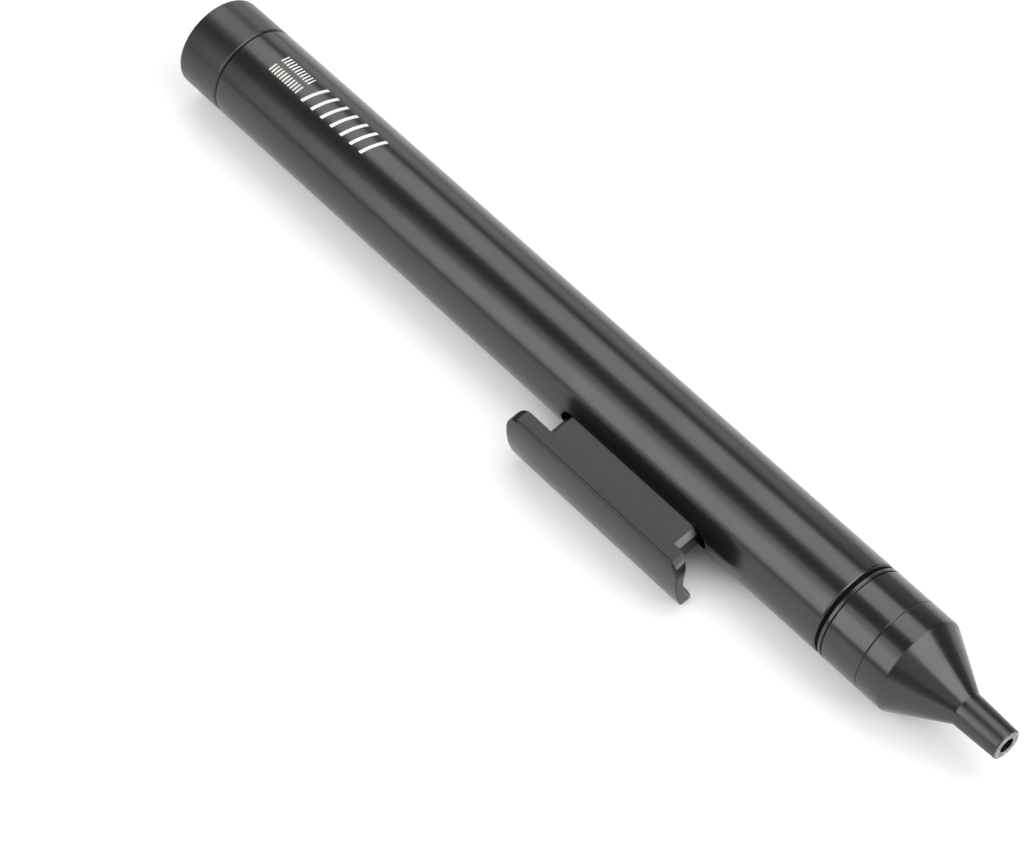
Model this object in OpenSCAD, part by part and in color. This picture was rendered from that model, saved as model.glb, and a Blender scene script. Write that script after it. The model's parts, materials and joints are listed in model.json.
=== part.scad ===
// Vacuum pick-up pen with a side button, lying on a flat surface.
// The pen's axis runs along X with the suction tip at +X, and the button points to -Y.
// The button rests on the surface too, so the pen is rolled a little about its own axis.
// Inside the barrel the button drives a pressure plate that squeezes a rubber bulb.
// The bulb breathes through the air stem, the collar and the nose to the bore in the tip.

/* [Barrel] */
// Outer diameter of the barrel, collar, nose band and end cap
barrel_d = 14; // [13:0.1:17]
// Length of the barrel tube
barrel_length = 118.3; // [110:0.1:140]
// Wall of the barrel tube
barrel_wall = 1; // [0.7:0.05:1.1]
// Broken edge at each turned seam
seam_edge = 0.15; // [0.05:0.05:0.3]
// Wider broken edge on the front rims of the barrel and the cap
rim_edge = 0.4; // [0.2:0.05:0.4]

/* [End cap] */
// Length of the cap behind the barrel
cap_length = 8.15; // [5:0.05:14]
// Chamfer on the cap's rear rim
cap_edge = 0.45; // [0.2:0.05:1.5]
// Width of the shadow gap between the cap and the barrel
cap_seam_width = 0.2; // [0.1:0.05:0.5]
// Depth of the shadow gap between the cap and the barrel
cap_seam_depth = 0.5; // [0.45:0.05:0.6]
// Length of the plug inside the barrel
cap_plug_length = 6; // [3:0.5:12]
// Wall of the hollow plug
cap_plug_wall = 1.4; // [0.8:0.1:2.5]
// Thickness of the cap's closed end
cap_floor = 3; // [1.5:0.1:4.5]

/* [Collar] */
// Length of the collar's outer band
collar_band = 6.65; // [5:0.05:10]
// Distance from the band's rear edge to the middle of its fine turned line
collar_line_place = 0.65; // [0.45:0.05:2]
// Width of the fine turned line
collar_line_width = 0.2; // [0.1:0.05:0.4]
// Depth of the fine turned line
collar_line_depth = 0.3; // [0.1:0.05:0.6]
// Length of the collar's plug inside the barrel
collar_plug_length = 6; // [5.6:0.1:9]
// Diameter of the air passage through the collar
passage_d = 3; // [1.5:0.1:4]

/* [Sealing rings] */
// Width of the groove between the barrel and the collar
groove_width = 0.5; // [0.5:0.05:1.2]
// Section diameter of the ring in the groove
ring_section_d = 0.45; // [0.3:0.05:0.45]
// Depth of the ring's outside below the barrel's surface
ring_depth = 0.35; // [0.05:0.05:0.4]
// Thickness of the gasket behind the nose
nose_gasket_thickness = 0.8; // [0.5:0.1:1.5]
// Thickness of the gasket under the stem's flange
stem_gasket_thickness = 0.6; // [0.4:0.1:1]
// Width of both gaskets' rubber across the radius
gasket_lip = 0.8; // [0.5:0.1:1.2]

/* [Nose] */
// Length of the nose's outer band
nose_band = 3.9; // [2.5:0.1:7]
// Length of the cone
cone_length = 8; // [5:0.1:14]
// Length of the tapered nipple
nipple_length = 6.9; // [4:0.1:12]
// Diameter of the nipple where it leaves the cone
nipple_root_d = 4.85; // [4:0.05:6]
// Diameter of the nipple at the tip
nipple_tip_d = 4.35; // [3.4:0.05:4.8]
// Chamfer on the nipple's tip
tip_edge = 0.2; // [0.05:0.05:0.4]
// Diameter of the air bore through the nose
air_bore_d = 2.2; // [1:0.1:2.6]
// Diameter of the nose's plug inside the collar
nose_plug_d = 9; // [7:0.1:10]
// Length of the nose's plug inside the collar
nose_plug_length = 4.4; // [2.5:0.1:4.6]

/* [Button] */
// Distance from the rear end of the pen to the middle of the button
button_place = 93.25; // [80:0.25:96]
// Travel of the button towards the barrel
button_travel = 3; // [1:0.1:3.2]
// Gap left between the finger plate and the barrel when the button is pressed
pressed_gap = 3; // [1.5:0.1:4]
// Wall of the finger plate at its middle
plate_wall = 1.2; // [1:0.1:2.2]
// How much larger in radius the hollow inside the finger plate is than the barrel
plate_hollow_gap = 0.8; // [0.3:0.1:2]
// Width of the finger plate across its curve
plate_width = 10.2; // [7:0.1:11]
// Rounding of the finger plate's corners, seen from outside
plate_round = 2.2; // [0.6:0.1:3.4]
// Length of the finger plate beyond each end of the web
plate_overhang = 3.9; // [1:0.1:6]
// Length of the web that passes through the barrel's slot
web_length = 24.4; // [18:0.1:26]
// Thickness of the web
web_thickness = 3.9; // [3:0.1:4.2]
// Chamfer on the web's upright edges
web_chamfer = 0.8; // [0.3:0.05:1.2]

/* [Pressure plate] */
// Thickness of the pressure plate
press_thickness = 1.1; // [0.8:0.1:1.4]
// Length of the pressure plate beyond each end of the web
press_overhang = 2; // [1:0.1:3]
// Width of each shoulder that stops the plate behind the slot
press_shoulder = 0.7; // [0.4:0.05:0.8]
// Diameter of the pins that join the plate to the web
pin_d = 1.6; // [1:0.1:2]
// Distance between the two pins
pin_pitch = 15; // [8:0.5:18]
// Length of each pin inside the web
pin_grip = 4; // [2:0.1:6]

/* [Squeeze bulb] */
// Wall of the rubber bulb
bulb_wall = 1; // [0.7:0.1:1.2]
// Length of the bulb's body from its domed end to its shoulder
bulb_body_length = 42.5; // [40:0.1:60]
// Length of the shoulder between the body and the neck
bulb_shoulder_length = 3.5; // [2.5:0.1:5]
// Length of the neck on the air stem
bulb_neck_length = 6.5; // [4:0.1:8]
// Wall of the neck
bulb_neck_wall = 1.25; // [0.8:0.05:1.4]

/* [Air stem and clamp] */
// Diameter of the stem under the bulb's neck
stem_d = 4.2; // [3.4:0.1:4.4]
// Diameter of the bead that holds the neck on
stem_bead_d = 5; // [4.8:0.1:5.2]
// Length of the bead's taper
stem_bead_length = 2; // [1.2:0.1:3]
// Diameter of the stem's flange
stem_flange_d = 8; // [7:0.1:9]
// Thickness of the stem's flange
stem_flange_thickness = 1.2; // [0.8:0.1:2]
// Diameter of the stem's thread in the collar
stem_thread_d = 5; // [4:0.1:5.4]
// Length of the stem's thread in the collar
stem_thread_length = 4.7; // [3:0.1:5]
// Width of the crimped ring on the neck
clamp_width = 3; // [2:0.1:3.8]
// Wall of the crimped ring
clamp_wall = 0.7; // [0.4:0.1:1]

/* [Fits] */
// Radial gap of pieces that are pressed or screwed together
press_gap = 0.03; // [0.01:0.01:0.06]
// Gap on each side of the web in the slot
slide_gap = 0.1; // [0.05:0.05:0.2]
// Gap along the slot between its round ends and the web's full thickness
slot_end_gap = 0.1; // [0.05:0.05:0.5]
// Gap between the pressure plate's corners and the bore
stop_gap = 0.12; // [0.05:0.01:0.3]
// Gap between the pressure plate and the bulb
touch_gap = 0.2; // [0.1:0.05:0.4]
// Gap between the bulb and the bore
bulb_gap = 0.4; // [0.2:0.05:0.8]
// Gap behind a thread's end or a neck's end
end_gap = 0.3; // [0.1:0.05:0.5]

/* [Hidden] */
$fn = 96;

// Colours
black_metal = [0.07, 0.07, 0.07];
black_plastic = [0.13, 0.13, 0.13];
black_rubber = [0.04, 0.04, 0.04];
red_rubber = [0.45, 0.13, 0.10];
steel = [0.62, 0.63, 0.65];
brass = [0.76, 0.62, 0.30];

// Radii shared by the turned pieces
barrel_r = barrel_d / 2;
bore_r = barrel_r - barrel_wall;
plug_r = bore_r - press_gap;
air_bore_r = air_bore_d / 2;
passage_r = passage_d / 2;
nose_plug_r = nose_plug_d / 2;
stem_r = stem_d / 2;
stem_bead_r = stem_bead_d / 2;
stem_thread_r = stem_thread_d / 2;

// Places along the pen, from the rear end to the tip
barrel_start = cap_length;
barrel_end = barrel_start + barrel_length;
collar_start = barrel_end + groove_width;
nose_start = collar_start + collar_band;
cone_start = nose_start + nose_band;
nipple_start = cone_start + cone_length;
overall_length = nipple_start + nipple_length;

// Places of the inner pieces, from the collar's plug towards the rear
collar_rear = barrel_end - collar_plug_length;
flange_start = collar_rear - stem_gasket_thickness - stem_flange_thickness;
neck_end = flange_start - end_gap;
neck_start = neck_end - bulb_neck_length;
shoulder_start = neck_start - bulb_shoulder_length;
bulb_rear = shoulder_start - bulb_body_length;
nose_plug_start = nose_start - nose_plug_length;
socket_floor = nose_plug_start - nose_gasket_thickness;
stem_hole_end = collar_rear + stem_thread_length + end_gap;

// Ring in the groove
ring_section_r = ring_section_d / 2;
ring_middle_r = barrel_r - ring_depth - ring_section_r;
ring_seat_r = ring_middle_r - ring_section_r - press_gap;

// Finger plate and web
plate_inner_r = barrel_r + pressed_gap + button_travel;
plate_r = plate_inner_r + plate_wall;
plate_hollow_r = barrel_r + plate_hollow_gap;
plate_hollow_place = plate_inner_r - plate_hollow_r;
plate_half_angle = asin(plate_width / 2 / plate_r);
web_start = button_place - web_length / 2;
web_end = button_place + web_length / 2;
plate_start = web_start - plate_overhang;
plate_length = web_length + 2 * plate_overhang;

// Slot, pressure plate and pins, measured out from the axis towards the button
slot_width = web_thickness + 2 * slide_gap;
slot_start = web_start + web_chamfer - slot_end_gap - slot_width / 2;
slot_length = web_length - 2 * web_chamfer + 2 * slot_end_gap + slot_width;
press_half_width = slot_width / 2 + press_shoulder;
press_outer = sqrt(pow(bore_r - stop_gap, 2) - pow(press_half_width, 2));
press_inner = press_outer - press_thickness;
press_start = web_start - press_overhang;
press_length = web_length + 2 * press_overhang;

// Bulb
bulb_r = bore_r - bulb_gap;
bulb_flat = press_inner - touch_gap;
neck_bore_r = stem_r + press_gap;
neck_r = neck_bore_r + bulb_neck_wall;
clamp_start = neck_start + (bulb_neck_length - clamp_width) / 2;

// The stem's bead sits inside the bulb, where its shoulder narrows to the bead's size
shoulder_slope = (bulb_r - bulb_wall - neck_bore_r) / bulb_shoulder_length;
bead_room = (stem_bead_r + touch_gap - neck_bore_r) / shoulder_slope;
bead_end = neck_start - bulb_wall - bead_room;
bead_start = bead_end - stem_bead_length;

// The pen rolls until the finger plate's lower corner meets the surface
rest_roll = asin(barrel_r / plate_r) - plate_half_angle;
axis_y = (plate_r - barrel_r) / 2;

// Moves a piece from the pen's own axis to where the pen lies at rest
module at_rest() {
    translate([-overall_length / 2, axis_y, barrel_r])
        rotate([rest_roll, 0, 0])
            children();
}

// Turns a flat shape about the pen's axis; its points are radius and place along the pen
module turned() {
    rotate([0, 90, 0])
        rotate_extrude()
            children();
}

// Cylinder along the pen's axis between two places
module rod(radius, from, to) {
    translate([from, 0, 0])
        rotate([0, 90, 0])
            cylinder(r = radius, h = to - from);
}

// Cylinder across the pen towards the button, between two distances from the axis
module cross_rod(radius, place, from, to) {
    translate([place, -from, 0])
        rotate([90, 0, 0])
            cylinder(r = radius, h = to - from);
}

// Flat rectangle with round corners, from the origin
module rounded_rectangle(width, length, corner) {
    translate([corner, 0])
        square([width - 2 * corner, length]);
    translate([0, corner])
        square([width, length - 2 * corner]);
    for (across = [corner, width - corner], along = [corner, length - corner])
        translate([across, along])
            circle(r = corner);
}

// Plate with round ends, lying across the button's direction between two distances from the axis
module round_ended_plate(start, length, half_width, from, to) {
    cross_rod(half_width, start + half_width, from, to);
    cross_rod(half_width, start + length - half_width, from, to);
    translate([start + half_width, -to, -half_width])
        cube([length - 2 * half_width, to - from, 2 * half_width]);
}

// Half outline of the bulb at its outside, or at its inside with the wall as inset
module bulb_outline(inset, neck_radius) {
    body_r = bulb_r - inset;
    dome_centre = bulb_rear + bulb_r;
    intersection() {
        translate([0, dome_centre])
            circle(r = body_r);
        translate([0, bulb_rear])
            square([bulb_r, bulb_r]);
    }
    polygon([
        [0, dome_centre],
        [body_r, dome_centre],
        [body_r, shoulder_start - inset],
        [neck_radius, neck_start - inset],
        [neck_radius, neck_end],
        [0, neck_end]
    ]);
}

// Everything beyond the bulb's flat, on the button's side
module beyond_flat(distance) {
    translate([bulb_rear, -barrel_r, -barrel_r])
        cube([neck_start - bulb_rear, barrel_r - distance, barrel_d]);
}

module barrel() {
    color(black_metal)
        at_rest()
            difference() {
                turned()
                    polygon([
                        [bore_r, barrel_start],
                        [barrel_r - seam_edge, barrel_start],
                        [barrel_r, barrel_start + seam_edge],
                        [barrel_r, barrel_end - rim_edge],
                        [barrel_r - rim_edge, barrel_end],
                        [bore_r, barrel_end]
                    ]);
                round_ended_plate(slot_start, slot_length, slot_width / 2, bore_r / 2, barrel_d);
            }
}

module end_cap() {
    plug_end = barrel_start + cap_plug_length;
    rim_end = barrel_start - cap_seam_width;
    color(black_metal)
        at_rest()
            turned()
                polygon([
                    [0, 0],
                    [barrel_r - cap_edge, 0],
                    [barrel_r, cap_edge],
                    [barrel_r, rim_end - rim_edge],
                    [barrel_r - rim_edge, rim_end],
                    [barrel_r - cap_seam_depth, rim_end],
                    [barrel_r - cap_seam_depth, barrel_start],
                    [plug_r, barrel_start],
                    [plug_r, plug_end - seam_edge],
                    [plug_r - seam_edge, plug_end],
                    [plug_r - cap_plug_wall, plug_end],
                    [plug_r - cap_plug_wall, cap_floor],
                    [0, cap_floor]
                ]);
}

module collar() {
    line_start = collar_start + collar_line_place - collar_line_width / 2;
    line_end = line_start + collar_line_width;
    color(black_metal)
        at_rest()
            difference() {
                turned()
                    polygon([
                        [0, collar_rear],
                        [plug_r - seam_edge, collar_rear],
                        [plug_r, collar_rear + seam_edge],
                        [plug_r, barrel_end],
                        [ring_seat_r, barrel_end],
                        [ring_seat_r, collar_start],
                        [barrel_r - seam_edge, collar_start],
                        [barrel_r, collar_start + seam_edge],
                        [barrel_r, line_start],
                        [barrel_r - collar_line_depth, line_start],
                        [barrel_r - collar_line_depth, line_end],
                        [barrel_r, line_end],
                        [barrel_r, nose_start - seam_edge],
                        [barrel_r - seam_edge, nose_start],
                        [0, nose_start]
                    ]);
                rod(stem_thread_r + press_gap, collar_rear - 1, stem_hole_end);
                rod(passage_r, collar_rear, nose_start);
                rod(nose_plug_r + press_gap, socket_floor, nose_start + 1);
            }
}

module nose_cone() {
    color(black_metal)
        at_rest()
            difference() {
                turned()
                    polygon([
                        [0, nose_plug_start],
                        [nose_plug_r - seam_edge, nose_plug_start],
                        [nose_plug_r, nose_plug_start + seam_edge],
                        [nose_plug_r, nose_start],
                        [barrel_r - seam_edge, nose_start],
                        [barrel_r, nose_start + seam_edge],
                        [barrel_r, cone_start],
                        [nipple_root_d / 2, nipple_start],
                        [nipple_tip_d / 2, overall_length - tip_edge],
                        [nipple_tip_d / 2 - tip_edge, overall_length],
                        [0, overall_length]
                    ]);
                rod(air_bore_r, nose_plug_start - 1, overall_length + 1);
            }
}

module o_ring() {
    color(black_rubber)
        at_rest()
            turned()
                translate([ring_middle_r, barrel_end + groove_width / 2])
                    circle(r = ring_section_r);
}

// Flat rubber ring, a lip wider than the hole that it seals
module gasket(inner_r, from, to) {
    color(black_rubber)
        at_rest()
            difference() {
                rod(inner_r + gasket_lip, from, to);
                rod(inner_r, from - 1, to + 1);
            }
}

module nose_gasket() {
    gasket(passage_r + press_gap, socket_floor, nose_plug_start);
}

module stem_gasket() {
    gasket(stem_thread_r + press_gap, collar_rear - stem_gasket_thickness, collar_rear);
}

module air_stem() {
    flange_end = flange_start + stem_flange_thickness;
    color(brass)
        at_rest()
            difference() {
                turned()
                    polygon([
                        [0, bead_start],
                        [stem_r - seam_edge, bead_start],
                        [stem_bead_r, bead_end],
                        [stem_r, bead_end],
                        [stem_r, flange_start],
                        [stem_flange_d / 2, flange_start],
                        [stem_flange_d / 2, flange_end],
                        [stem_thread_r, flange_end],
                        [stem_thread_r, collar_rear + stem_thread_length],
                        [0, collar_rear + stem_thread_length]
                    ]);
                rod(air_bore_r, bead_start - 1, stem_hole_end + 1);
            }
}

module squeeze_bulb() {
    color(red_rubber)
        at_rest()
            difference() {
                turned()
                    bulb_outline(0, neck_r);
                beyond_flat(bulb_flat);
                difference() {
                    turned()
                        bulb_outline(bulb_wall, neck_bore_r);
                    beyond_flat(bulb_flat - bulb_wall);
                }
            }
}

module bulb_clamp() {
    color(steel)
        at_rest()
            difference() {
                rod(neck_r + press_gap + clamp_wall, clamp_start, clamp_start + clamp_width);
                rod(neck_r + press_gap, clamp_start - 1, clamp_start + clamp_width + 1);
            }
}

// Plate curved about the pen's axis outside and hollowed to suit the barrel inside
module finger_plate() {
    plate_end = plate_start + plate_length;
    intersection() {
        difference() {
            rod(plate_r, plate_start - 1, plate_end + 1);
            translate([0, -plate_hollow_place, 0])
                rod(plate_hollow_r, plate_start - 2, plate_end + 2);
        }
        translate([plate_start, -plate_hollow_place, -plate_width / 2])
            rotate([90, 0, 0])
                linear_extrude(plate_r + 1 - plate_hollow_place)
                    rounded_rectangle(plate_length, plate_width, plate_round);
    }
}

module web() {
    half = web_thickness / 2;
    web_top = plate_inner_r + plate_wall / 2;
    translate([0, -press_outer, 0])
        rotate([90, 0, 0])
            linear_extrude(web_top - press_outer)
                polygon([
                    [web_start, web_chamfer - half],
                    [web_start + web_chamfer, -half],
                    [web_end - web_chamfer, -half],
                    [web_end, web_chamfer - half],
                    [web_end, half - web_chamfer],
                    [web_end - web_chamfer, half],
                    [web_start + web_chamfer, half],
                    [web_start, half - web_chamfer]
                ]);
}

// Puts its child at each of the two pins
module at_pins() {
    for (side = [-1, 1])
        translate([button_place + side * pin_pitch / 2, 0, 0])
            children();
}

module button() {
    color(black_plastic)
        at_rest()
            difference() {
                union() {
                    finger_plate();
                    web();
                }
                at_pins()
                    cross_rod(pin_d / 2 + press_gap, 0, press_inner, press_outer + pin_grip + press_gap);
            }
}

module pressure_plate() {
    color(steel)
        at_rest()
            difference() {
                round_ended_plate(press_start, press_length, press_half_width, press_inner, press_outer);
                at_pins()
                    cross_rod(pin_d / 2 + press_gap, 0, press_inner / 2, press_outer + 1);
            }
}

module plate_pins() {
    color(steel)
        at_rest()
            at_pins()
                cross_rod(pin_d / 2, 0, press_inner, press_outer + pin_grip);
}

barrel();
end_cap();
collar();
nose_cone();
o_ring();
nose_gasket();
stem_gasket();
air_stem();
squeeze_bulb();
bulb_clamp();
button();
pressure_plate();
plate_pins();
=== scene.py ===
import json
import math

import bmesh
import bpy
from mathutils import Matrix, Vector


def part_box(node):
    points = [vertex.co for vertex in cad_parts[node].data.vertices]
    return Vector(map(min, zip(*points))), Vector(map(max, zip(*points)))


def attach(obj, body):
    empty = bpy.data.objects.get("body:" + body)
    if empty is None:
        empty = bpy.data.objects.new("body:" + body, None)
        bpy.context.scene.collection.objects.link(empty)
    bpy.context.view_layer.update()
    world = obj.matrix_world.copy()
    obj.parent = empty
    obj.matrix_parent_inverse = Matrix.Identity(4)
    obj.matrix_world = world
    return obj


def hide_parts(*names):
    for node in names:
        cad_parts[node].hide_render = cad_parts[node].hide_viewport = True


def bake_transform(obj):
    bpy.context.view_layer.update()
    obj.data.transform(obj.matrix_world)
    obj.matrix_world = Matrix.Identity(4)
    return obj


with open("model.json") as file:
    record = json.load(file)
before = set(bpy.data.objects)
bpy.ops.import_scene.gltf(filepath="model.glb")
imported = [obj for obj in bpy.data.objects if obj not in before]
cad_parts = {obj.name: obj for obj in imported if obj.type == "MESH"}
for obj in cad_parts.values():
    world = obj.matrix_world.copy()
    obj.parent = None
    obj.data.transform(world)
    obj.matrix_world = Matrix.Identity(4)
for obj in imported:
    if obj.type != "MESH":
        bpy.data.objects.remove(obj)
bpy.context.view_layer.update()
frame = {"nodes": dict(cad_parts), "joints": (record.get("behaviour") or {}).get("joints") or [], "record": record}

MM = 0.001
TURN = 2 * math.pi

# The pen's axis, its radius and the button's direction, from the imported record
tip_bore = next(mount for mount in frame["record"]["mounts"] if mount["name"] == "tip_bore")
TIP, AXIS_Y, AXIS_Z = tip_bore["pos_m"]
AIR_BORE_R = tip_bore["dims"]["r_mm"] * MM
BARREL_R = AXIS_Z
ALONG = Vector((1, 0, 0))
OUTWARD = -Vector(frame["joints"][0]["axis"])
UPWARD = OUTWARD.cross(ALONG)

# Places along the pen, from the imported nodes
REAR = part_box("end_cap")[0].x
CAP_PLUG_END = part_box("end_cap")[1].x
BARREL_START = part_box("barrel")[0].x
BARREL_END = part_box("barrel")[1].x
RING_MIDDLE = (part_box("o_ring")[0].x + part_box("o_ring")[1].x) / 2
COLLAR_START = 2 * RING_MIDDLE - BARREL_END
COLLAR_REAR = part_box("collar")[0].x
NOSE_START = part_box("collar")[1].x
NOSE_PLUG_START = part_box("nose_cone")[0].x
PLATE_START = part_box("button")[0].x
PLATE_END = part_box("button")[1].x
BUTTON_MIDDLE = (PLATE_START + PLATE_END) / 2
BULB_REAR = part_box("squeeze_bulb")[0].x
NECK_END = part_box("squeeze_bulb")[1].x

# Real sizes that the frame doesn't give
BARREL_WALL = 1.0 * MM
PRESS_GAP = 0.03 * MM
SEAM_EDGE = 0.15 * MM
RIM_EDGE = 0.4 * MM
CAP_EDGE = 0.45 * MM
CAP_PLUG_WALL = 1.4 * MM
CAP_FLOOR = 3.0 * MM
CAP_SEAM_WIDTH = 0.2 * MM
CAP_SEAM_DEPTH = 0.5 * MM
RING_SEAT_DEPTH = 0.83 * MM
RING_SUNK = 0.08 * MM
RING_EDGE = 0.2 * MM
COLLAR_LINE_PLACE = 0.65 * MM
COLLAR_LINE_WIDTH = 0.2 * MM
COLLAR_LINE_DEPTH = 0.3 * MM
LINE_EDGE = 0.04 * MM
PASSAGE_R = 1.5 * MM
STEM_HOLE_R = 2.53 * MM
STEM_HOLE_LENGTH = 5.0 * MM
NOSE_PLUG_R = 4.5 * MM
NOSE_GASKET = 0.8 * MM
NOSE_BAND = 3.9 * MM
NIPPLE_LENGTH = 6.9 * MM
NIPPLE_ROOT_R = 2.425 * MM
NIPPLE_TIP_R = 2.175 * MM
TIP_EDGE = 0.2 * MM
PLATE_R = 14.2 * MM
PLATE_WALL = 1.2 * MM
PLATE_HOLLOW_R = 7.8 * MM
PLATE_WIDTH = 10.2 * MM
PLATE_ROUND = 2.2 * MM
PLATE_NARROWING = 0.006
PLATE_OUTER_EDGE = 0.28 * MM
PLATE_INNER_EDGE = 0.06 * MM
WEB_LENGTH = 24.4 * MM
WEB_THICKNESS = 3.9 * MM
WEB_CHAMFER = 0.8 * MM
WEB_EDGE = 0.1 * MM
WEB_FOOT = 5.197 * MM
SLIDE_GAP = 0.1 * MM
SLOT_END_GAP = 0.1 * MM
PIN_R = 0.83 * MM
PIN_PITCH = 15.0 * MM
PIN_HOLE_DEPTH = 4.03 * MM
BULB_R = 5.6 * MM
BULB_FLAT = 3.897 * MM
BULB_EDGE = 0.4 * MM
BULB_WALL = 1.0 * MM
NECK_R = 3.38 * MM
NECK_LENGTH = 6.5 * MM
NECK_BORE_R = 2.13 * MM
SHOULDER_LENGTH = 3.5 * MM

BORE_R = BARREL_R - BARREL_WALL
PLUG_R = BORE_R - PRESS_GAP
CONE_START = NOSE_START + NOSE_BAND
NIPPLE_START = TIP - NIPPLE_LENGTH

# Fineness of the meshes
TURNED_SIDES = 192
EDGE_STEPS = 4
BEVEL_STEPS = 3
PLATE_EDGE_STEPS = 5
SMOOTH_ANGLE = math.radians(35)
JOINED_POINTS = 0.008 * MM


def pen_point(place, radius, angle):
    """Point at a place along the pen, at a radius, at an angle round the axis from the button."""
    across = OUTWARD * (radius * math.cos(angle)) + UPWARD * (radius * math.sin(angle))
    return Vector((place, AXIS_Y, AXIS_Z)) + across


def button_point(place, height, distance):
    """Point at a place along the pen, at a height across the button and a distance out from the axis."""
    return Vector((place, AXIS_Y, AXIS_Z)) + UPWARD * height + OUTWARD * distance


def eased(outline):
    """Outline of (place, radius, edge) with each corner rounded, from edge before it to edge after it."""
    points = []
    for before, corner, after in zip(outline[-1:] + outline, outline, outline[1:] + outline[:1]):
        here = Vector(corner[:2])
        back = (Vector(before[:2]) - here).normalized()
        onward = (Vector(after[:2]) - here).normalized()
        edge = corner[2]
        if edge == 0:
            points.append(here)
            continue
        pull = math.sqrt((1 - back.dot(onward)) / 2)
        for step in range(EDGE_STEPS + 1):
            t = step / EDGE_STEPS
            shares = ((1 - t) ** 2, 2 * t * (1 - t) * pull, t ** 2)
            arc = shares[0] * (here + edge * back) + shares[1] * here + shares[2] * (here + edge * onward)
            points.append(arc / sum(shares))
    return points


def bridge(mesh, ring, following, closed=True):
    """Faces between two rows of vertices; a row may repeat one vertex, as at a pole."""
    pairs = list(zip(ring, following))
    ends = pairs[1:] + pairs[:1] if closed else pairs[1:]
    for (a, b), (c, d) in zip(pairs, ends):
        corners = list(dict.fromkeys((a, c, d, b)))
        if len(corners) > 2:
            mesh.faces.new(corners)


def new_piece(name, mesh):
    """Object from a finished bmesh."""
    bmesh.ops.recalc_face_normals(mesh, faces=mesh.faces)
    data = bpy.data.meshes.new(name)
    mesh.to_mesh(data)
    mesh.free()
    piece = bpy.data.objects.new(name, data)
    bpy.context.scene.collection.objects.link(piece)
    return piece


def smooth(piece):
    """Smooth shading that stays flat on flat faces and sharp at sharp corners."""
    piece.data.shade_smooth()
    piece.data.set_sharp_from_angle(angle=SMOOTH_ANGLE)
    piece.modifiers.new("weighted_normals", "WEIGHTED_NORMAL").keep_sharp = True
    return piece


def freeze(piece):
    """Replaces a piece's mesh by what its modifiers make of it."""
    graph = bpy.context.evaluated_depsgraph_get()
    final = bpy.data.meshes.new_from_object(piece.evaluated_get(graph))
    piece.modifiers.clear()
    piece.data = final
    return piece


def broken_edges(piece, width):
    """Rounds a piece's sharp edges."""
    bevel = piece.modifiers.new("broken_edges", "BEVEL")
    bevel.width = width
    bevel.segments = BEVEL_STEPS
    bevel.limit_method = "ANGLE"
    bevel.angle_limit = SMOOTH_ANGLE
    return freeze(piece)


def combine(piece, other, operation):
    """Joins another solid to a piece, or cuts it away, and removes the other."""
    boolean = piece.modifiers.new("combine", "BOOLEAN")
    boolean.object = other
    boolean.operation = operation
    boolean.solver = "EXACT"
    freeze(piece)
    bpy.data.objects.remove(other)
    return piece


def coat(piece, finish):
    """Gives a piece its finish."""
    piece.data.materials.clear()
    piece.data.materials.append(finish)


def dress(piece, node, finish):
    """Gives a piece its finish and hides the node that it stands for."""
    coat(piece, finish)
    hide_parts(node)
    return piece


def turned(name, outline):
    """Solid of revolution about the pen's axis."""
    mesh = bmesh.new()
    rings = []
    for place, radius in eased(outline):
        if radius == 0:
            rings.append([mesh.verts.new(pen_point(place, 0, 0))] * TURNED_SIDES)
        else:
            angles = (TURN * side / TURNED_SIDES for side in range(TURNED_SIDES))
            rings.append([mesh.verts.new(pen_point(place, radius, angle)) for angle in angles])
    for ring, following in zip(rings, rings[1:] + rings[:1]):
        bridge(mesh, ring, following)
    return smooth(new_piece(name, mesh))


def end_cap():
    """Cap with a hollow plug that goes into the barrel."""
    hollow_r = PLUG_R - CAP_PLUG_WALL
    rim_end = BARREL_START - CAP_SEAM_WIDTH
    return turned("cap", [
        (REAR, 0, 0),
        (REAR, BARREL_R, CAP_EDGE),
        (rim_end, BARREL_R, RIM_EDGE),
        (rim_end, BARREL_R - CAP_SEAM_DEPTH, 0),
        (BARREL_START, BARREL_R - CAP_SEAM_DEPTH, 0),
        (BARREL_START, PLUG_R, 0),
        (CAP_PLUG_END, PLUG_R, SEAM_EDGE),
        (CAP_PLUG_END, hollow_r, SEAM_EDGE),
        (REAR + CAP_FLOOR, hollow_r, 0),
        (REAR + CAP_FLOOR, 0, 0),
    ])


def collar():
    """Collar with its plug, the ring's seat, a turned line, the air passage and the nose's socket."""
    seat_r = BARREL_R - RING_SEAT_DEPTH
    socket_r = NOSE_PLUG_R + PRESS_GAP
    socket_floor = NOSE_PLUG_START - NOSE_GASKET
    stem_hole_end = COLLAR_REAR + STEM_HOLE_LENGTH
    line_start = COLLAR_START + COLLAR_LINE_PLACE - COLLAR_LINE_WIDTH / 2
    line_end = line_start + COLLAR_LINE_WIDTH
    line_r = BARREL_R - COLLAR_LINE_DEPTH
    return turned("collar_band", [
        (COLLAR_REAR, STEM_HOLE_R, 0),
        (COLLAR_REAR, PLUG_R, SEAM_EDGE),
        (BARREL_END, PLUG_R, 0),
        (BARREL_END, seat_r, 0),
        (COLLAR_START, seat_r, 0),
        (COLLAR_START, BARREL_R, SEAM_EDGE),
        (line_start, BARREL_R, LINE_EDGE),
        (line_start, line_r, 0),
        (line_end, line_r, 0),
        (line_end, BARREL_R, LINE_EDGE),
        (NOSE_START, BARREL_R, SEAM_EDGE),
        (NOSE_START, socket_r, 0),
        (socket_floor, socket_r, 0),
        (socket_floor, PASSAGE_R, 0),
        (stem_hole_end, PASSAGE_R, 0),
        (stem_hole_end, STEM_HOLE_R, 0),
    ])


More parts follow.
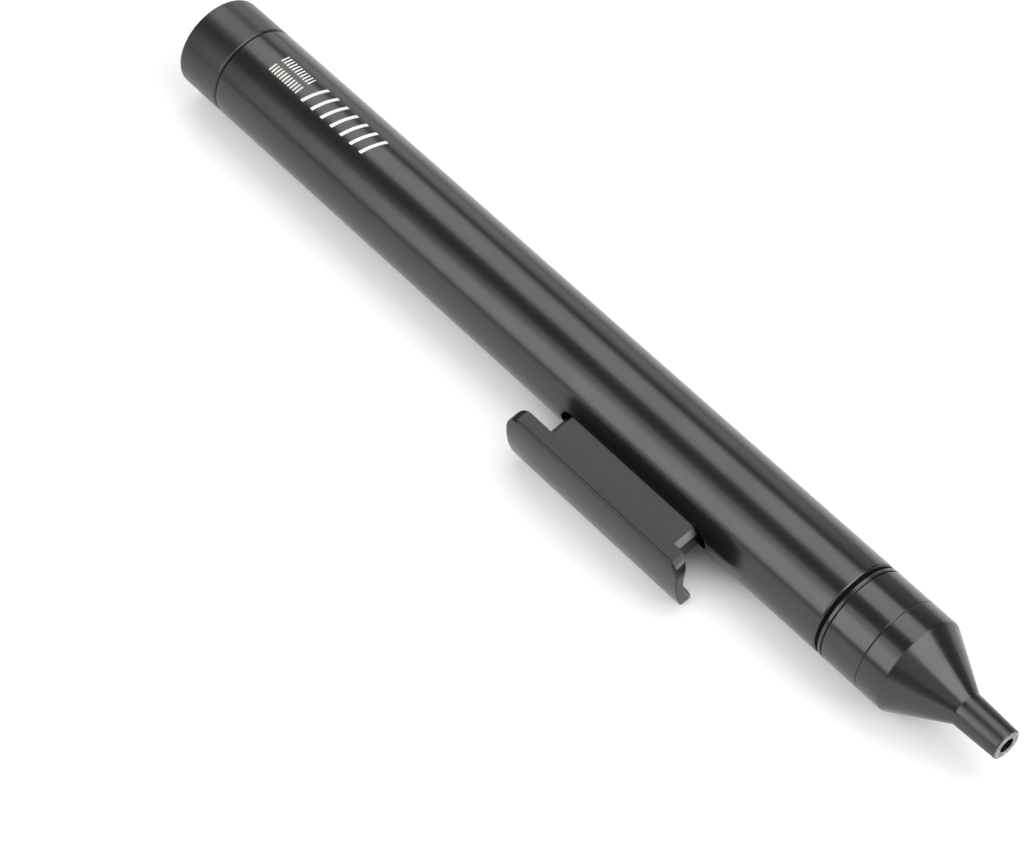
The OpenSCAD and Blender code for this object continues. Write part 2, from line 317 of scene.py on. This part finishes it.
def squeezed_ring():
    """Rubber ring that is squeezed between the barrel and the collar and fills the groove; its near-black finish
    is painted shade of the groove.
    """
    seat_r = BARREL_R - RING_SEAT_DEPTH
    crown_r = BARREL_R - RING_SUNK
    return turned("squeezed_ring", [
        (BARREL_END, seat_r, RING_EDGE),
        (BARREL_END, crown_r, RING_EDGE),
        (COLLAR_START, crown_r, RING_EDGE),
        (COLLAR_START, seat_r, RING_EDGE),
    ])


def nose():
    """Band, cone and tapered nipple in one turning, with the air bore."""
    shoulder_edge = 0.3 * MM
    root_edge = 0.25 * MM
    bore_edge = 0.08 * MM
    return turned("nose", [
        (NOSE_PLUG_START, AIR_BORE_R, 0),
        (NOSE_PLUG_START, NOSE_PLUG_R, SEAM_EDGE),
        (NOSE_START, NOSE_PLUG_R, 0),
        (NOSE_START, BARREL_R, SEAM_EDGE),
        (CONE_START, BARREL_R, shoulder_edge),
        (NIPPLE_START, NIPPLE_ROOT_R, root_edge),
        (TIP, NIPPLE_TIP_R, TIP_EDGE),
        (TIP, AIR_BORE_R, bore_edge),
    ])


# Grid of the barrel around its slot
SLOT_HALF = WEB_THICKNESS / 2 + SLIDE_GAP
SLOT_REACH = WEB_LENGTH / 2 - WEB_CHAMFER + SLOT_END_GAP + SLOT_HALF
SLOT_START = BUTTON_MIDDLE - SLOT_REACH
SLOT_END = BUTTON_MIDDLE + SLOT_REACH
PATCH_HALF = 4.5 * MM
PATCH_MARGIN = 2.5 * MM
PATCH_ALONG = 32
PATCH_ACROSS = 24
PATCH_RINGS = 4
ROUND_STEPS = 120


def slot_rim(place, across):
    """Point of the slot's outline that lies nearest the middle line from a point of the patch's border."""
    first = SLOT_START + SLOT_HALF
    last = SLOT_END - SLOT_HALF
    centre = Vector((min(max(place, first), last), 0))
    return centre + SLOT_HALF * (Vector((place, across)) - centre).normalized()


def slotted_surface(mesh, radius, end):
    """Cylinder with the slot left open, up to a place; returns its two end rings and the slot's rim."""
    spread = [PATCH_HALF * (2 * step / PATCH_ACROSS - 1) for step in range(PATCH_ACROSS + 1)]
    first_angle = math.asin(PATCH_HALF / radius)
    rest = TURN - 2 * first_angle
    angles = [math.asin(across / radius) for across in spread]
    angles += [first_angle + rest * step / ROUND_STEPS for step in range(1, ROUND_STEPS)]
    patch_start = SLOT_START - PATCH_MARGIN
    patch_length = SLOT_END - SLOT_START + 2 * PATCH_MARGIN
    places = [patch_start + patch_length * step / PATCH_ALONG for step in range(PATCH_ALONG + 1)]
    places = [BARREL_START] + places + [end]

    first, last = 1, PATCH_ALONG + 1
    rows = []
    for column, place in enumerate(places):
        row = []
        for side, angle in enumerate(angles):
            hidden = first < column < last and 0 < side < PATCH_ACROSS
            row.append(None if hidden else mesh.verts.new(pen_point(place, radius, angle)))
        rows.append(row)
    for column, (row, following) in enumerate(zip(rows, rows[1:])):
        if first <= column < last:
            open_row = row[PATCH_ACROSS:] + row[:1]
            bridge(mesh, open_row, following[PATCH_ACROSS:] + following[:1], closed=False)
        else:
            bridge(mesh, row, following)

    border = [(column, 0) for column in range(first, last)]
    border += [(last, side) for side in range(PATCH_ACROSS)]
    border += [(column, PATCH_ACROSS) for column in range(last, first, -1)]
    border += [(first, side) for side in range(PATCH_ACROSS, 0, -1)]
    ring = [rows[column][side] for column, side in border]
    for step in range(1, PATCH_RINGS + 1):
        following = []
        for column, side in border:
            outer = Vector((places[column], spread[side]))
            place, across = outer.lerp(slot_rim(*outer), step / PATCH_RINGS)
            following.append(mesh.verts.new(pen_point(place, radius, math.asin(across / radius))))
        bridge(mesh, ring, following)
        ring = following
    return rows[0], rows[-1], ring


def rounded_rim(mesh, ring):
    """Carries a ring of the barrel's outside round the front rim; returns the last ring, on the end face."""
    for step in range(1, EDGE_STEPS + 1):
        turn = TURN / 4 * step / EDGE_STEPS
        place = BARREL_END - RIM_EDGE * (1 - math.sin(turn))
        radius = BARREL_R - RIM_EDGE * (1 - math.cos(turn))
        middle = Vector((place, AXIS_Y, AXIS_Z))
        following = []
        for vertex in ring:
            across = Vector((0, vertex.co.y - AXIS_Y, vertex.co.z - AXIS_Z)).normalized()
            following.append(mesh.verts.new(middle + radius * across))
        bridge(mesh, ring, following)
        ring = following
    return ring


def barrel():
    """Tube with the button's slot and a rounded front rim."""
    mesh = bmesh.new()
    rear, front, slot = slotted_surface(mesh, BARREL_R, BARREL_END - RIM_EDGE)
    outside = (rear, rounded_rim(mesh, front), slot)
    inside = slotted_surface(mesh, BORE_R, BARREL_END)
    for outer_loop, inner_loop in zip(outside, inside):
        bridge(mesh, outer_loop, inner_loop)
    return smooth(broken_edges(new_piece("barrel_tube", mesh), SEAM_EDGE))


def prism(name, outline, low, high):
    """Solid between two distances from the axis towards the button; the outline is (place, height)."""
    mesh = bmesh.new()
    layers = []
    for distance in (low, high):
        layer = [mesh.verts.new(button_point(place, height, distance)) for place, height in outline]
        layers.append(layer)
        mesh.faces.new(layer)
    bridge(mesh, *layers)
    return new_piece(name, mesh)


def plate_rows():
    """(height, turn) of the finger plate's rows: the middle of a corner's arc, and the turn round it."""
    straight = PLATE_WIDTH / 2 - PLATE_ROUND
    corner_steps = 12
    straight_steps = 8
    turns = [TURN / 4 * step / corner_steps for step in range(corner_steps + 1)]
    lower = [(-straight, -turn) for turn in reversed(turns)]
    middle = [(straight * (2 * step / straight_steps - 1), 0) for step in range(1, straight_steps)]
    upper = [(straight, turn) for turn in turns]
    return lower + middle + upper


def plate_loop(mesh, reach, distance_at, rise, narrowing):
    """Vertices round the plate on one of its faces, at a reach from the corners' middles and a rise."""
    rear = []
    front = []
    for middle, turn in plate_rows():
        height = middle + reach * math.sin(turn)
        inset = PLATE_ROUND - reach * math.cos(turn)
        distance = distance_at(height) + rise
        height *= 1 - narrowing
        rear.append(mesh.verts.new(button_point(PLATE_START + inset, height, distance)))
        front.append(mesh.verts.new(button_point(PLATE_END - inset, height, distance)))
    return rear + front[::-1]


def plate_face(mesh, distance_at, edge, inward, narrowing):
    """One face of the plate with its rounded edge; returns the loop where the edge meets the sides."""
    loops = []
    for step in range(PLATE_EDGE_STEPS + 1):
        turn = TURN / 4 * step / PLATE_EDGE_STEPS
        reach = PLATE_ROUND - edge * (1 - math.sin(turn))
        rise = inward * edge * (1 - math.cos(turn))
        loops.append(plate_loop(mesh, reach, distance_at, rise, narrowing))
    half = len(loops[0]) // 2
    bridge(mesh, loops[0][:half], loops[0][:half - 1:-1], closed=False)
    for loop, following in zip(loops, loops[1:]):
        bridge(mesh, loop, following)
    return loops[-1]


def finger_plate():
    """Plate curved about the pen's axis outside and hollowed to suit the barrel inside."""
    hollow_place = PLATE_R - PLATE_WALL - PLATE_HOLLOW_R
    mesh = bmesh.new()

    def outside(height):
        return math.sqrt(PLATE_R ** 2 - height ** 2)

    def hollow(height):
        return hollow_place + math.sqrt(PLATE_HOLLOW_R ** 2 - height ** 2)

    outer = plate_face(mesh, outside, PLATE_OUTER_EDGE, -1, PLATE_NARROWING)
    inner = plate_face(mesh, hollow, PLATE_INNER_EDGE, 1, 0)
    bridge(mesh, outer, inner)
    return new_piece("button_moulding", mesh)


def web():
    """Web that carries the finger plate, with chamfered upright edges."""
    start = BUTTON_MIDDLE - WEB_LENGTH / 2
    end = BUTTON_MIDDLE + WEB_LENGTH / 2
    half = WEB_THICKNESS / 2
    inner = half - WEB_CHAMFER
    outline = [
        (start, -inner), (start + WEB_CHAMFER, -half), (end - WEB_CHAMFER, -half), (end, -inner),
        (end, inner), (end - WEB_CHAMFER, half), (start + WEB_CHAMFER, half), (start, inner),
    ]
    return broken_edges(prism("web", outline, WEB_FOOT, PLATE_R - PLATE_WALL / 2), WEB_EDGE)


def pin_hole(side):
    """Round solid that cuts one pin's hole into the foot of the web."""
    steps = 32
    middle = BUTTON_MIDDLE + side * PIN_PITCH / 2
    turns = [TURN * step / steps for step in range(steps)]
    outline = [(middle + PIN_R * math.cos(turn), PIN_R * math.sin(turn)) for turn in turns]
    return prism("pin_hole", outline, WEB_FOOT - PIN_R, WEB_FOOT + PIN_HOLE_DEPTH)


def button():
    """Finger plate and web in one moulding, with the pins' holes."""
    moulding = combine(finger_plate(), web(), "UNION")
    for side in (-1, 1):
        combine(moulding, pin_hole(side), "DIFFERENCE")
    weld = moulding.modifiers.new("joined_points", "WELD")
    weld.merge_threshold = JOINED_POINTS
    return smooth(freeze(moulding))


def bulb():
    """Rubber bulb with a domed end, a flat under the pressure plate and a neck for the air stem."""
    dome_steps = 12
    neck_start = NECK_END - NECK_LENGTH
    dome = []
    for step in range(dome_steps + 1):
        turn = TURN / 4 * step / dome_steps
        dome.append((BULB_REAR + BULB_R * (1 - math.cos(turn)), BULB_R * math.sin(turn), 0))
    skin = turned("bulb_skin", dome + [
        (neck_start - SHOULDER_LENGTH, BULB_R, BULB_EDGE),
        (neck_start, NECK_R, BULB_EDGE),
        (NECK_END, NECK_R, SEAM_EDGE),
        (NECK_END, NECK_BORE_R, SEAM_EDGE),
        (neck_start - BULB_WALL, NECK_BORE_R, 0),
        (neck_start - BULB_WALL, 0, 0),
    ])
    for vertex in skin.data.vertices:
        distance = (vertex.co - Vector((vertex.co.x, AXIS_Y, AXIS_Z))).dot(OUTWARD)
        vertex.co -= OUTWARD * max(0, distance - BULB_FLAT)
    return skin


# Generic print on the barrel's top line as it lies
MARK_START = REAR + 13.8 * MM
MARK_TICKS = 11
MARK_TICK_PITCH = 0.56 * MM
MARK_TICK_WIDTH = 0.24 * MM
MARK_TICK_HALF = 0.7 * MM
MARK_TICK_OFFSET = 1.1 * MM
MARK_GAP = 1.4 * MM
MARK_BARS = 7
MARK_BAR_PITCH = 2.05 * MM
MARK_BAR_WIDTH = 0.55 * MM
MARK_BAR_HALF = 2.0 * MM
MARK_SLANT = 0.25
MARK_RAISED = 0.012 * MM
MARK_SUNK = 0.02 * MM
TOP_ANGLE = math.atan2(UPWARD.z, OUTWARD.z)


def printed_bar(mesh, start, width, middle, half, slant):
    """Thin curved bar of ink; middle and half are distances round the barrel from its top line."""
    steps = 6
    rows = []
    for step in range(steps + 1):
        reach = half * (2 * step / steps - 1)
        angle = TOP_ANGLE + (middle + reach) / BARREL_R
        rear = start + slant * reach
        front = rear + width
        low = BARREL_R - MARK_SUNK
        high = BARREL_R + MARK_RAISED
        corners = ((rear, low), (rear, high), (front, high), (front, low))
        rows.append([mesh.verts.new(pen_point(place, radius, angle)) for place, radius in corners])
    for row, following in zip(rows, rows[1:]):
        bridge(mesh, row, following)
    mesh.faces.new(rows[0])
    mesh.faces.new(rows[-1])


def print_mark():
    """Two rows of fine ticks, then a row of slanted bars."""
    mesh = bmesh.new()
    for tick in range(MARK_TICKS):
        for side in (-1, 1):
            start = MARK_START + tick * MARK_TICK_PITCH
            printed_bar(mesh, start, MARK_TICK_WIDTH, side * MARK_TICK_OFFSET, MARK_TICK_HALF, 0)
    bars_start = MARK_START + MARK_TICKS * MARK_TICK_PITCH + MARK_GAP
    for bar in range(MARK_BARS):
        start = bars_start + bar * MARK_BAR_PITCH
        printed_bar(mesh, start, MARK_BAR_WIDTH, 0, MARK_BAR_HALF, MARK_SLANT)
    return smooth(new_piece("print_mark", mesh))


# Part of a noise's range that colours and roughness run over
NOISE_LOW = 0.3
NOISE_HIGH = 0.7

# Fineness of the noises that the finishes share, in grains to the metre
ANODISED_CLOUDS = (90, 90, 90)
MOULDED_CLOUDS = (120, 120, 120)
WEAR_GRAIN = (2500, 2500, 2500)

# Values of the metal finishes
ANODISED_METALLIC = 0.85
ANODISED_DARK = (0.067, 0.066, 0.064)
ANODISED_LIGHT = (0.077, 0.076, 0.073)
BARE_METAL_MARKS = 0.002 * MM

# Wear on the nipple and on its end face
RUB = 0.11
RUB_FADE = 1.0 * MM
WEAR_START = 0.08 * MM
WEAR_END = 0.02 * MM
WEAR_DARK = (0.10, 0.10, 0.095)
WEAR_LIGHT = (0.38, 0.375, 0.36)


def new_material(name):
    """Material with a Principled shader; returns it, its node tree and the shader."""
    made = bpy.data.materials.new(name)
    made.use_nodes = True
    return made, made.node_tree, made.node_tree.nodes["Principled BSDF"]


def grain(tree, fineness):
    """Noise in the pen's own frame, with so many grains to the metre along X, Y and Z."""
    place = tree.nodes.new("ShaderNodeTexCoord")
    mapping = tree.nodes.new("ShaderNodeMapping")
    mapping.inputs["Scale"].default_value = fineness
    noise = tree.nodes.new("ShaderNodeTexNoise")
    noise.inputs["Scale"].default_value = 1.0
    noise.inputs["Detail"].default_value = 3.0
    tree.links.new(place.outputs["Object"], mapping.inputs["Vector"])
    tree.links.new(mapping.outputs["Vector"], noise.inputs["Vector"])
    return noise.outputs[0]


def coordinate(tree, space, axis):
    """One coordinate of the shaded point, in one of Blender's texture spaces."""
    place = tree.nodes.new("ShaderNodeTexCoord")
    axes = tree.nodes.new("ShaderNodeSeparateXYZ")
    tree.links.new(place.outputs[space], axes.inputs["Vector"])
    return axes.outputs[axis]


def ramp(tree, factor, first, last, from_low, from_high):
    """Colour that runs from the first to the last as the factor runs between two values."""
    colours = tree.nodes.new("ShaderNodeValToRGB")
    for element, position, colour in zip(colours.color_ramp.elements, (from_low, from_high), (first, last)):
        element.position = position
        element.color = (*colour, 1)
    tree.links.new(factor, colours.inputs["Fac"])
    return colours.outputs["Color"]


def level(tree, factor, from_low, from_high, low, high):
    """Number that runs from low to high as the factor runs between two values."""
    span = tree.nodes.new("ShaderNodeMapRange")
    span.inputs["From Min"].default_value = from_low
    span.inputs["From Max"].default_value = from_high
    span.inputs["To Min"].default_value = low
    span.inputs["To Max"].default_value = high
    tree.links.new(factor, span.inputs["Value"])
    return span.outputs["Result"]


def reckoned(tree, operation, first, second):
    """Result of a sum, product or the like of two numbers."""
    node = tree.nodes.new("ShaderNodeMath")
    node.operation = operation
    tree.links.new(first, node.inputs[0])
    tree.links.new(second, node.inputs[1])
    return node.outputs[0]


def relief(tree, shader, height, depth):
    """Bump of a real depth on the shader."""
    bump = tree.nodes.new("ShaderNodeBump")
    bump.inputs["Distance"].default_value = depth
    tree.links.new(height, bump.inputs["Height"])
    tree.links.new(bump.outputs["Normal"], shader.inputs["Normal"])


def surface(tree, shader, tint, texture, dark, light, roughness, depth):
    """Colour from one noise, and roughness and bump from another."""
    colour = ramp(tree, tint, dark, light, NOISE_LOW, NOISE_HIGH)
    tree.links.new(colour, shader.inputs["Base Color"])
    tree.links.new(level(tree, texture, NOISE_LOW, NOISE_HIGH, *roughness), shader.inputs["Roughness"])
    relief(tree, shader, texture, depth)


def anodised(name, dark, light, roughness, fineness, depth):
    """Black anodised metal with fine tool marks; fineness gives their direction."""
    made, tree, shader = new_material(name)
    shader.inputs["Metallic"].default_value = ANODISED_METALLIC
    clouds = grain(tree, ANODISED_CLOUDS)
    surface(tree, shader, clouds, grain(tree, fineness), dark, light, roughness, depth)
    return made


def worn_tip(made):
    """Nipple rubbed dull by use, with bare metal on its end face."""
    tree = made.node_tree
    shader = tree.nodes["Principled BSDF"]
    anodising = shader.inputs["Base Color"].links[0].from_socket
    shine = shader.inputs["Roughness"].links[0].from_socket
    along = coordinate(tree, "Object", "X")

    rub = level(tree, along, NIPPLE_START, NIPPLE_START + RUB_FADE, 0, RUB)
    tree.links.new(reckoned(tree, "ADD", shine, rub), shader.inputs["Roughness"])

    bare = ramp(tree, grain(tree, WEAR_GRAIN), WEAR_DARK, WEAR_LIGHT, NOISE_LOW, NOISE_HIGH)
    worn = tree.nodes.new("ShaderNodeMix")
    worn.data_type = "RGBA"
    tree.links.new(level(tree, along, TIP - WEAR_START, TIP - WEAR_END, 0, 1), worn.inputs["Factor"])
    tree.links.new(anodising, worn.inputs["A"])
    tree.links.new(bare, worn.inputs["B"])
    tree.links.new(worn.outputs["Result"], shader.inputs["Base Color"])
    return made


def moulded(name, dark, light, roughness, fineness, depth, gloss=0.5):
    """Plastic, rubber or ink with a fine even texture."""
    made, tree, shader = new_material(name)
    shader.inputs["Specular IOR Level"].default_value = gloss
    clouds = grain(tree, MOULDED_CLOUDS)
    texture = grain(tree, (fineness, fineness, fineness))
    surface(tree, shader, clouds, texture, dark, light, roughness, depth)
    return made


def bare_metal(name, dark, light, roughness, fineness):
    """Uncoated metal with fine tool marks."""
    made, tree, shader = new_material(name)
    shader.inputs["Metallic"].default_value = 1.0
    marks = grain(tree, fineness)
    surface(tree, shader, marks, marks, dark, light, roughness, BARE_METAL_MARKS)
    return made


# Finishes
barrel_finish = anodised(
    "barrel_finish", dark=ANODISED_DARK, light=ANODISED_LIGHT,
    roughness=(0.22, 0.25), fineness=(40, 6000, 6000), depth=0.0006 * MM)
cap_finish = anodised(
    "cap_finish", dark=(0.060, 0.064, 0.060), light=(0.072, 0.076, 0.072),
    roughness=(0.30, 0.36), fineness=(4000, 500, 500), depth=0.001 * MM)
nose_finish = worn_tip(anodised(
    "nose_finish", dark=ANODISED_DARK, light=ANODISED_LIGHT,
    roughness=(0.18, 0.23), fineness=(7000, 300, 300), depth=0.0006 * MM))
button_finish = moulded(
    "button_finish", dark=(0.006, 0.0055, 0.005), light=(0.010, 0.0095, 0.0085),
    roughness=(0.20, 0.27), fineness=3500, depth=0.002 * MM)
# Black rubber, darkened to near black and dulled, so the flush ring carries painted shade of the groove it fills
ring_finish = moulded(
    "ring_finish", dark=(0.002, 0.002, 0.002), light=(0.004, 0.004, 0.004),
    roughness=(0.75, 0.90), fineness=3000, depth=0.004 * MM, gloss=0.06)
bulb_finish = moulded(
    "bulb_finish", dark=(0.30, 0.07, 0.05), light=(0.40, 0.11, 0.08),
    roughness=(0.60, 0.75), fineness=1500, depth=0.02 * MM)
ink_finish = moulded(
    "ink_finish", dark=(0.62, 0.62, 0.60), light=(0.80, 0.80, 0.78),
    roughness=(0.55, 0.70), fineness=4000, depth=0.003 * MM)
steel_finish = bare_metal(
    "steel_finish", dark=(0.52, 0.52, 0.53), light=(0.66, 0.66, 0.68),
    roughness=(0.26, 0.40), fineness=(60, 3000, 3000))
brass_finish = bare_metal(
    "brass_finish", dark=(0.66, 0.50, 0.22), light=(0.80, 0.64, 0.32),
    roughness=(0.22, 0.34), fineness=(4000, 200, 200))

# Pieces
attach(dress(barrel(), "barrel", barrel_finish), "pen")
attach(dress(end_cap(), "end_cap", cap_finish), "pen")
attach(dress(collar(), "collar", nose_finish), "pen")
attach(dress(nose(), "nose_cone", nose_finish), "pen")
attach(dress(squeezed_ring(), "o_ring", ring_finish), "pen")
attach(dress(button(), "button", button_finish), "trigger")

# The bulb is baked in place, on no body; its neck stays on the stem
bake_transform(dress(bulb(), "squeeze_bulb", bulb_finish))

mark = print_mark()
coat(mark, ink_finish)
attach(mark, "pen")

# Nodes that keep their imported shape
kept_finishes = {
    "nose_gasket": ring_finish,
    "stem_gasket": ring_finish,
    "air_stem": brass_finish,
    "bulb_clamp": steel_finish,
    "pressure_plate": steel_finish,
    "plate_pins": steel_finish,
}
for node, finish in kept_finishes.items():
    coat(frame["nodes"][node], finish)


# Floor, in metres; its glow fades out where little of the sky above it is open, which paints shade into closed
# corners
FLOOR_HALF = 4.0
FLOOR_GREY = (0.62, 0.62, 0.62, 1)
FLOOR_GLOW = 0.38
CLOSED_CORNER = 0.14
OPEN_CORNER = 0.28
CORNER_REACH = 2 * BARREL_R
CORNER_SAMPLES = 12

# Room; the heights are sines of the angle above the horizon
HORIZON_GREY = (0.35, 0.35, 0.35)
ROOM_GREY = (0.08, 0.08, 0.08)
HORIZON_TOP = 0.05
ROOM_START = 0.4

# Lamps, in metres from the pen's axis
LAMP_DISTANCE = 0.6


def studio_floor():
    """Pale matt floor with a glow of its own, and painted shade in closed corners where that glow fades out."""
    mesh = bmesh.new()
    corners = ((-1, -1), (1, -1), (1, 1), (-1, 1))
    mesh.faces.new([mesh.verts.new((FLOOR_HALF * x, FLOOR_HALF * y, 0)) for x, y in corners])
    floor = new_piece("studio_floor", mesh)

    made, tree, shader = new_material("floor_finish")
    shader.inputs["Base Color"].default_value = FLOOR_GREY
    shader.inputs["Roughness"].default_value = 0.9
    shader.inputs["Specular IOR Level"].default_value = 0.0
    shader.inputs["Emission Color"].default_value = (1, 1, 1, 1)
    path = tree.nodes.new("ShaderNodeLightPath")
    seen = path.outputs["Is Camera Ray"]
    for ray in ("Is Glossy Ray", "Is Transmission Ray"):
        seen = reckoned(tree, "MAXIMUM", seen, path.outputs[ray])
    openness = tree.nodes.new("ShaderNodeAmbientOcclusion")
    openness.samples = CORNER_SAMPLES
    openness.inputs["Distance"].default_value = CORNER_REACH
    # Painted shade: the glow is taken away where the floor is closed in, so the corners under the pen read darker
    glow_with_painted_corner_shade = level(tree, openness.outputs["AO"], CLOSED_CORNER, OPEN_CORNER, 0, FLOOR_GLOW)
    tree.links.new(reckoned(tree, "MULTIPLY", seen, glow_with_painted_corner_shade), shader.inputs["Emission Strength"])

    coat(floor, made)


def studio_world():
    """Dim room with a pale horizon."""
    world = bpy.data.worlds.new("studio_world")
    world.use_nodes = True
    tree = world.node_tree
    height = level(tree, coordinate(tree, "Generated", "Z"), HORIZON_TOP, ROOM_START, 0, 1)
    light = ramp(tree, height, HORIZON_GREY, ROOM_GREY, 0, 1)
    tree.links.new(light, tree.nodes["Background"].inputs["Color"])
    bpy.context.scene.world = world


def softbox(name, angles, places, radiance):
    """Lamp parallel to the pen; its angles run from the zenith to the button's side, its places along."""
    low, high = (math.radians(angle) for angle in angles)
    rear, front = places
    middle = (low + high) / 2
    data = bpy.data.lights.new(name, "AREA")
    data.shape = "RECTANGLE"
    data.size = front - rear
    data.size_y = 2 * LAMP_DISTANCE * math.tan((high - low) / 2)
    data.energy = radiance * math.pi * data.size * data.size_y
    lamp = bpy.data.objects.new(name, data)
    lamp.location = Vector(((front + rear) / 2, AXIS_Y, AXIS_Z))
    lamp.location += LAMP_DISTANCE * Vector((0, -math.sin(middle), math.cos(middle)))
    lamp.rotation_euler = (middle, 0, 0)
    lamp.visible_camera = False
    bpy.context.scene.collection.objects.link(lamp)


def studio_camera():
    """Camera at the photograph's place."""
    azimuth = math.radians(49.05)
    elevation = math.radians(52.72)
    distance = 0.4601
    aim = Vector((0.55, -9.13, 7.0)) * MM
    flat = math.cos(elevation)
    backward = Vector((flat * math.sin(azimuth), -flat * math.cos(azimuth), math.sin(elevation)))
    data = bpy.data.cameras.new("studio_camera")
    data.sensor_fit = "HORIZONTAL"
    data.sensor_width = 36
    data.lens = 126.56
    camera = bpy.data.objects.new("studio_camera", data)
    camera.location = aim + distance * backward
    camera.rotation_euler = backward.to_track_quat("Z", "Y").to_euler()
    bpy.context.scene.collection.objects.link(camera)
    bpy.context.scene.camera = camera


studio_floor()
studio_world()
softbox("overhead_rear_lamp", angles=(-44, -1), places=(-0.9, -0.34), radiance=2.1)
softbox("overhead_lamp", angles=(-40, -1), places=(-0.34, 0.15), radiance=2.1)
softbox("front_lamp", angles=(-45, 14), places=(0.15, 1.0), radiance=2.9)
softbox("low_front_lamp", angles=(-38, -6), places=(0.8, 1.5), radiance=7.0)
softbox("low_side_lamp", angles=(48, 76), places=(0.75, 1.5), radiance=3.2)
softbox("front_side_fill", angles=(14, 60), places=(0.1, 0.75), radiance=0.5)
softbox("button_side_lamp", angles=(43, 79), places=(-0.43, 0.1), radiance=2.5)
softbox("button_side_fill", angles=(29, 43), places=(-0.36, 0.1), radiance=1.4)
softbox("far_side_lamp", angles=(-84, -58), places=(-0.5, -0.2), radiance=1.1)
softbox("far_side_rear_lamp", angles=(-84, -58), places=(-1.1, -0.5), radiance=1.6)
studio_camera()
bpy.context.scene.view_settings.view_transform = "Standard"
